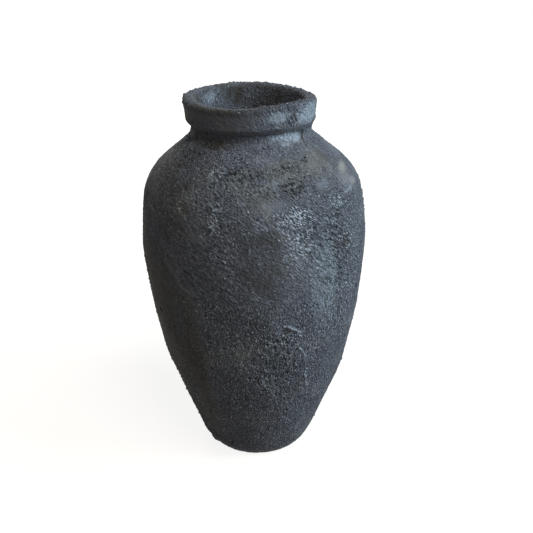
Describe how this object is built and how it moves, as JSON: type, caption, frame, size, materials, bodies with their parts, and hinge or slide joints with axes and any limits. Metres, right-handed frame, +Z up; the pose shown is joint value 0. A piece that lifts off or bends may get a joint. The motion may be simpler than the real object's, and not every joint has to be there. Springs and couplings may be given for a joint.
{
  "type": "vase",
  "caption": "Tall hand-thrown terracotta jar vase with a high belly, short neck, thick overhanging collar and a black gritty mineral coat.",
  "frame": {"origin": "middle of the foot, on the surface that the vase stands on", "axes": "+Z up along the vase's axis, -Y towards the pictured front, +X to the right of it"},
  "size_m": [0.2462, 0.2481, 0.4214],
  "materials": {
    "terracotta": "fired and unglazed, dry and faintly sandy, with throwing rings",
    "mineral_coat": "matt black sand and plaster coat, coarse and granular, brushed on"
  },
  "bodies": {
    "root": {"foot_section": "terracotta", "belly_section": "terracotta", "shoulder_section": "terracotta", "rim_collar": "terracotta", "body_coat": "mineral_coat", "collar_coat": "mineral_coat", "throat_coat": "mineral_coat"}
  },
  "joints": []
}
